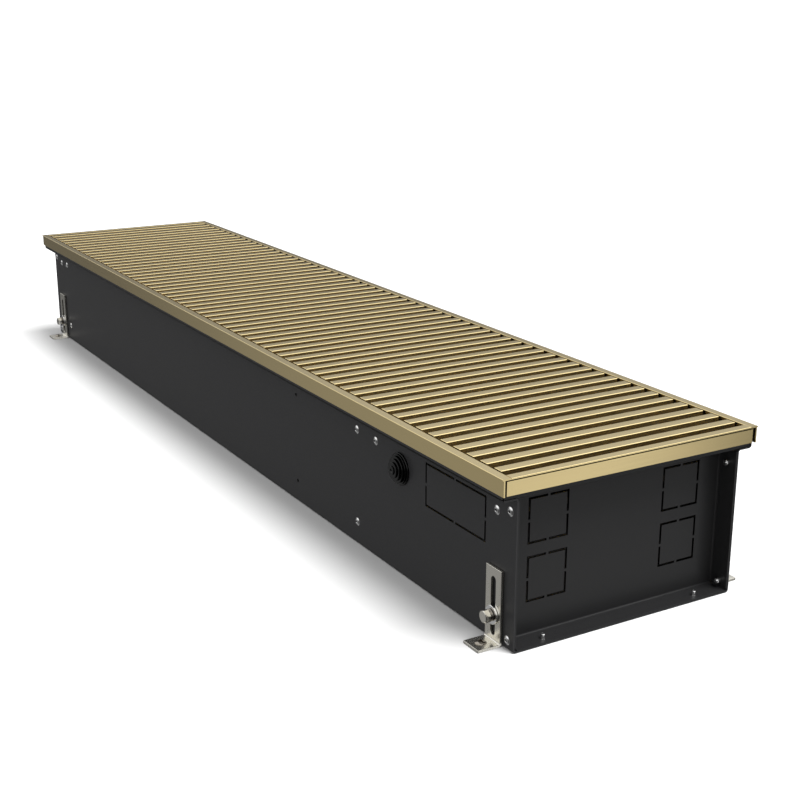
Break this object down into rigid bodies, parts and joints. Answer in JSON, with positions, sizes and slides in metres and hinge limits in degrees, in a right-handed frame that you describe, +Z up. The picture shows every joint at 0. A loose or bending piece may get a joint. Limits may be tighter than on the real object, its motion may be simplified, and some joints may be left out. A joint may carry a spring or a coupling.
{
  "type": "trench convector heater",
  "caption": "Floor-recessed trench convector: folded trough with finned exchanger and cross-flow fan under a lift-out grille of cross bars.",
  "frame": {"origin": "centre of the bounding box at the underside of the trough and feet", "axes": "+X along the trough towards the end with the pipe connections, -Y towards the long wall with the cable grommet, +Z up"},
  "size_m": [1.2186, 0.2772, 0.152],
  "materials": {
    "casing_powder_coat": "graphite satin powder coat on folded steel sheet",
    "frame_anodised": "champagne anodised extrusion, satin",
    "grille_anodised": "champagne anodised hollow bar, satin with drawn lines",
    "black_rubber": "matt moulded rubber",
    "zinc_plated_steel": "bright zinc plated",
    "blackened_steel": "black oxide spring washer",
    "stainless_bracket": "rolled stainless sheet, folded",
    "fin_aluminium": "mill finish fin stock",
    "copper_tube": "drawn copper, slightly tarnished",
    "turned_brass": "turned brass",
    "galvanised_sheet": "hot-dip galvanised, fine spangle",
    "motor_enamel": "black stoving enamel",
    "impeller_plastic": "moulded glass-filled nylon",
    "black_plastic": "moulded nylon and cable sheath",
    "box_plastic": "moulded polycarbonate, fine texture",
    "terminal_plastic": "moulded white polyamide"
  },
  "bodies": {
    "casing": {"trough": "casing_powder_coat", "end_plate_near": "casing_powder_coat", "end_plate_far": "casing_powder_coat", "frame_front": "frame_anodised", "frame_rear": "frame_anodised", "frame_end_near": "frame_anodised", "frame_end_far": "frame_anodised", "seal_strips": "black_rubber", "wall_rivets": "zinc_plated_steel", "floor_rivets": "zinc_plated_steel", "spreader_bars": "casing_powder_coat", "partition_near": "casing_powder_coat", "partition_far": "casing_powder_coat", "fin_pack": "fin_aluminium", "exchanger_tubes": "copper_tube", "return_bends": "copper_tube", "crossover_bend": "copper_tube", "connector_supply": "turned_brass", "connector_return": "turned_brass", "vent_body": "turned_brass", "fan_scroll": "galvanised_sheet", "fan_tongue": "galvanised_sheet", "motor_plates": "galvanised_sheet", "fan_motor": "motor_enamel", "motor_mounts": "black_rubber", "bearing_near": "black_plastic", "bearing_far": "black_plastic", "terminal_box": "box_plastic", "terminal_lid": "box_plastic", "terminal_block": "terminal_plastic", "lid_screws": "zinc_plated_steel", "cable_glands": "black_plastic", "cable_grommet": "black_rubber", "motor_cable": "black_plastic", "earth_stud": "turned_brass", "foot_bolts": "zinc_plated_steel", "foot_washers": "zinc_plated_steel", "lock_washers": "blackened_steel", "rivet_nuts": "zinc_plated_steel"},
    "grille": {"grille_bars": "grille_anodised", "grille_cores": "zinc_plated_steel", "grille_spacers": "black_plastic"},
    "fan_rotor": {"fan_shaft": "zinc_plated_steel", "impeller_near": "impeller_plastic", "impeller_far": "impeller_plastic"},
    "bleed_screw": {"vent_screw": "turned_brass"},
    "foot_near_front_bracket": {"foot_near_front": "stainless_bracket", "foot_screw_near_front": "zinc_plated_steel"},
    "foot_near_rear_bracket": {"foot_near_rear": "stainless_bracket", "foot_screw_near_rear": "zinc_plated_steel"},
    "foot_far_front_bracket": {"foot_far_front": "stainless_bracket", "foot_screw_far_front": "zinc_plated_steel"},
    "foot_far_rear_bracket": {"foot_far_rear": "stainless_bracket", "foot_screw_far_rear": "zinc_plated_steel"}
  },
  "joints": [
    {"name": "grille_lift", "type": "slide", "parent": "casing", "child": "grille", "axis": [0, 0, 1], "range_m": [0, 0.06]},
    {"name": "fan_spin", "type": "hinge", "parent": "casing", "child": "fan_rotor", "pos_m": [-0.0995, -0.062, 0.062], "axis": [1, 0, 0], "continuous": true},
    {"name": "bleed_screw_turn", "type": "hinge", "parent": "casing", "child": "bleed_screw", "pos_m": [0.3732, 0.055, 0.115], "axis": [0, 0, 1], "range_deg": [0, 270]},
    {"name": "foot_near_front_level", "type": "slide", "parent": "casing", "child": "foot_near_front_bracket", "axis": [0, 0, 1], "range_m": [-0.0295, 0.0125]},
    {"name": "foot_near_rear_level", "type": "slide", "parent": "casing", "child": "foot_near_rear_bracket", "axis": [0, 0, 1], "range_m": [-0.0295, 0.0125]},
    {"name": "foot_far_front_level", "type": "slide", "parent": "casing", "child": "foot_far_front_bracket", "axis": [0, 0, 1], "range_m": [-0.0295, 0.0125]},
    {"name": "foot_far_rear_level", "type": "slide", "parent": "casing", "child": "foot_far_rear_bracket", "axis": [0, 0, 1], "range_m": [-0.0295, 0.0125]}
  ]
}
